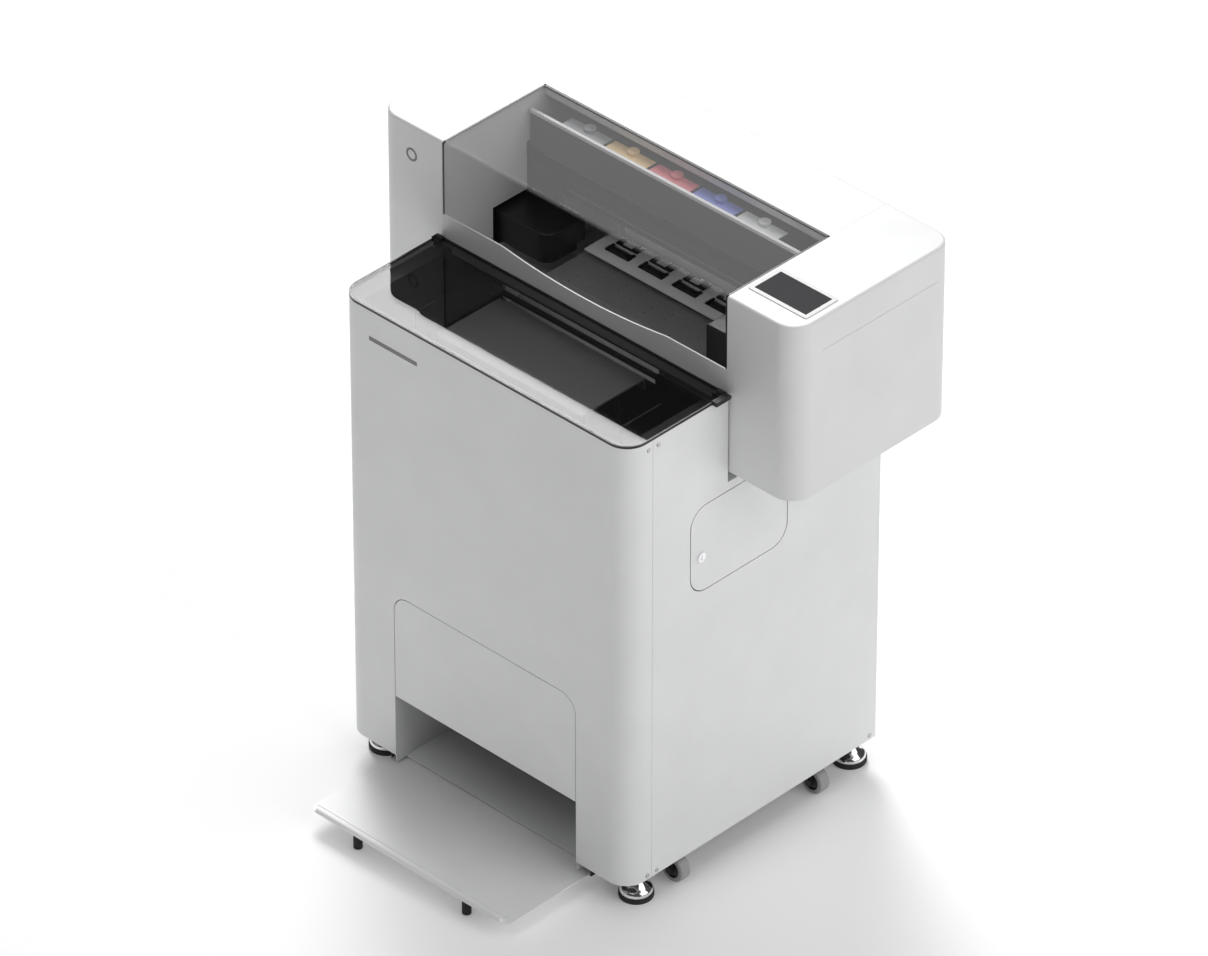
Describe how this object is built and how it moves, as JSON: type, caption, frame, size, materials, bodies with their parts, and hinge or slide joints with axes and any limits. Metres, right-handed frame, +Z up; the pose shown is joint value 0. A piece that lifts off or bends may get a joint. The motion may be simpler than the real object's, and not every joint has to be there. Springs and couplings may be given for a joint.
{
  "type": "film printer on a powder curing cabinet",
  "caption": "Roll-film printer with smoked lid on the rear deck of a floor-standing powder and curing cabinet with glass cover, outlet door and tray.",
  "frame": {"origin": "on the floor, below the middle of the machine's bounding box", "axes": "+X to the machine's right seen from its front, +Y from front to back, +Z up"},
  "size_m": [0.94, 0.812, 1.1215],
  "materials": {
    "white_paint": "satin powder coat",
    "white_plastic": "fine satin",
    "bezel_plastic": "satin",
    "smoked_glass": "polished",
    "smoked_acrylic": "polished",
    "screen_glass": "gloss",
    "black_steel": "satin",
    "bright_steel": "brushed",
    "chrome": "polished",
    "rubber": "matte",
    "belt": "matte",
    "black_plastic": "satin",
    "white_frame": "satin",
    "pulley_metal": "machined",
    "tank_plastic": "semi gloss",
    "caster_fork": "zinc",
    "caster_tread": "matte"
  },
  "bodies": {
    "machine": {"base_pan": "black_steel", "cabinet_frame": "black_steel", "carriage_beam": "black_steel", "carriage_belt": "belt", "carriage_motor": "black_plastic", "exhaust_duct": "bright_steel", "foot_pads": "rubber", "front_lower_panel": "white_plastic", "front_shell": "white_paint", "ink_tanks": "tank_plastic", "left_side_panel": "white_paint", "left_tower": "white_plastic", "levelling_feet": "chrome", "maintenance_station": "black_plastic", "outlet_chute": "white_paint", "oven_belt": "belt", "oven_box": "bright_steel", "pinch_frame": "white_frame", "platen": "black_steel", "power_inlet": "black_plastic", "printer_base": "white_frame", "printer_feet": "rubber", "rear_cover": "white_plastic", "rear_deck": "white_paint", "rear_panel": "white_paint", "right_side_panel": "white_paint", "right_tower": "white_plastic", "screen_bezel": "bezel_plastic", "shaker_tub": "black_steel", "side_screws": "bright_steel", "tank_tray": "white_frame", "touch_screen": "screen_glass"},
    "lid": {"smoked_lid": "smoked_acrylic"},
    "well_cover": {"glass_cover": "smoked_glass", "cover_lugs": "black_steel"},
    "outlet_door": {"outlet_door": "white_paint"},
    "service_door": {"service_door": "white_paint"},
    "cam_lock": {"cam_lock": "chrome"},
    "tray": {"tray": "white_paint", "tray_feet": "rubber"},
    "carriage": {"carriage": "black_plastic"},
    "drive_pulley": {"drive_pulley": "pulley_metal"},
    "idler_pulley": {"idler_pulley": "pulley_metal"},
    "feed_roller": {"feed_roller": "rubber"},
    "pinch_rollers": {"pinch_rollers": "rubber"},
    "film_roll": {"film_roll": "bright_steel"},
    "belt_roller_front": {"belt_roller_front": "bright_steel"},
    "belt_roller_rear": {"belt_roller_rear": "bright_steel"},
    "guide_roller": {"guide_roller": "bright_steel"},
    "film_bed": {"film_bed": "bright_steel"},
    "exhaust_fan": {"exhaust_fan": "black_plastic"},
    "rocker_switch": {"rocker_switch": "black_plastic"},
    "caster_fork_front_left": {"caster_fork_front_left": "caster_fork"},
    "caster_wheel_front_left": {"caster_wheel_front_left": "caster_tread"},
    "caster_fork_rear_left": {"caster_fork_rear_left": "caster_fork"},
    "caster_wheel_rear_left": {"caster_wheel_rear_left": "caster_tread"},
    "caster_fork_front_right": {"caster_fork_front_right": "caster_fork"},
    "caster_wheel_front_right": {"caster_wheel_front_right": "caster_tread"},
    "caster_fork_rear_right": {"caster_fork_rear_right": "caster_fork"},
    "caster_wheel_rear_right": {"caster_wheel_rear_right": "caster_tread"}
  },
  "joints": [
    {"name": "lid_hinge", "type": "hinge", "parent": "machine", "child": "lid", "pos_m": [0, 0.2524, 1.12], "axis": [-1, 0, 0], "range_deg": [0, 75]},
    {"name": "cover_hinge", "type": "hinge", "parent": "machine", "child": "well_cover", "pos_m": [0, 0.003, 0.937], "axis": [-1, 0, 0], "range_deg": [0, 80]},
    {"name": "outlet_door_hinge", "type": "hinge", "parent": "machine", "child": "outlet_door", "pos_m": [0, -0.216, 0.347], "axis": [-1, 0, 0], "range_deg": [0, 70]},
    {"name": "service_door_hinge", "type": "hinge", "parent": "machine", "child": "service_door", "pos_m": [0.322, 0.109, 0.6595], "axis": [0, 0, 1], "range_deg": [0, 100]},
    {"name": "cam_lock_turn", "type": "hinge", "parent": "service_door", "child": "cam_lock", "pos_m": [0.327, -0.05, 0.644], "axis": [-1, 0, 0], "range_deg": [0, 90]},
    {"name": "tray_slide", "type": "slide", "parent": "machine", "child": "tray", "axis": [0, 1, 0], "range_m": [0, 0.15]},
    {"name": "carriage_slide", "type": "slide", "parent": "machine", "child": "carriage", "axis": [1, 0, 0], "range_m": [0, 0.512]},
    {"name": "drive_pulley_spin", "type": "hinge", "parent": "machine", "child": "drive_pulley", "pos_m": [0.415, 0.235, 1.0028], "axis": [0, -1, 0], "continuous": true},
    {"name": "idler_pulley_spin", "type": "hinge", "parent": "machine", "child": "idler_pulley", "pos_m": [-0.415, 0.235, 1.0028], "axis": [0, -1, 0], "continuous": true},
    {"name": "feed_roller_spin", "type": "hinge", "parent": "machine", "child": "feed_roller", "pos_m": [0, 0.245, 0.848], "axis": [1, 0, 0], "continuous": true},
    {"name": "pinch_rollers_spin", "type": "hinge", "parent": "machine", "child": "pinch_rollers", "pos_m": [0, 0.245, 0.8675], "axis": [1, 0, 0], "continuous": true},
    {"name": "film_roll_spin", "type": "hinge", "parent": "machine", "child": "film_roll", "pos_m": [0, 0.324, 0.9], "axis": [1, 0, 0], "continuous": true},
    {"name": "belt_roller_front_spin", "type": "hinge", "parent": "machine", "child": "belt_roller_front", "pos_m": [0, 0.024, 0.12], "axis": [1, 0, 0], "continuous": true},
    {"name": "belt_roller_rear_spin", "type": "hinge", "parent": "machine", "child": "belt_roller_rear", "pos_m": [0, 0.299, 0.12], "axis": [1, 0, 0], "continuous": true},
    {"name": "guide_roller_spin", "type": "hinge", "parent": "machine", "child": "guide_roller", "pos_m": [0, -0.003, 0.904], "axis": [1, 0, 0], "continuous": true},
    {"name": "film_bed_shake", "type": "slide", "parent": "machine", "child": "film_bed", "axis": [1, 0, 0], "range_m": [-0.002, 0.002], "stiffness_N_per_m": 20000},
    {"name": "exhaust_fan_spin", "type": "hinge", "parent": "machine", "child": "exhaust_fan", "pos_m": [-0.15, 0.344, 0.64], "axis": [0, 1, 0], "continuous": true},
    {"name": "rocker_tilt", "type": "hinge", "parent": "machine", "child": "rocker_switch", "pos_m": [0.219, 0.373, 0.13], "axis": [-1, 0, 0], "range_deg": [0, 12]},
    {"name": "caster_swivel_front_left", "type": "hinge", "parent": "machine", "child": "caster_fork_front_left", "pos_m": [-0.294, -0.088, 0.06], "axis": [0, 0, 1], "continuous": true},
    {"name": "caster_spin_front_left", "type": "hinge", "parent": "caster_fork_front_left", "child": "caster_wheel_front_left", "pos_m": [-0.31, -0.088, 0.0265], "axis": [0, 1, 0], "continuous": true},
    {"name": "caster_swivel_rear_left", "type": "hinge", "parent": "machine", "child": "caster_fork_rear_left", "pos_m": [-0.294, 0.247, 0.06], "axis": [0, 0, 1], "continuous": true},
    {"name": "caster_spin_rear_left", "type": "hinge", "parent": "caster_fork_rear_left", "child": "caster_wheel_rear_left", "pos_m": [-0.31, 0.247, 0.0265], "axis": [0, 1, 0], "continuous": true},
    {"name": "caster_swivel_front_right", "type": "hinge", "parent": "machine", "child": "caster_fork_front_right", "pos_m": [0.294, -0.088, 0.06], "axis": [0, 0, 1], "continuous": true},
    {"name": "caster_spin_front_right", "type": "hinge", "parent": "caster_fork_front_right", "child": "caster_wheel_front_right", "pos_m": [0.31, -0.088, 0.0265], "axis": [0, 1, 0], "continuous": true},
    {"name": "caster_swivel_rear_right", "type": "hinge", "parent": "machine", "child": "caster_fork_rear_right", "pos_m": [0.294, 0.247, 0.06], "axis": [0, 0, 1], "continuous": true},
    {"name": "caster_spin_rear_right", "type": "hinge", "parent": "caster_fork_rear_right", "child": "caster_wheel_rear_right", "pos_m": [0.31, 0.247, 0.0265], "axis": [0, 1, 0], "continuous": true}
  ],
  "couplings": [
    {"joint": "drive_pulley_spin", "follows": "carriage_slide", "rad_per_m": 90.498},
    {"joint": "idler_pulley_spin", "follows": "carriage_slide", "rad_per_m": 90.498},
    {"joint": "pinch_rollers_spin", "follows": "feed_roller_spin", "ratio": -1.7143},
    {"joint": "belt_roller_rear_spin", "follows": "belt_roller_front_spin", "ratio": 1}
  ]
}
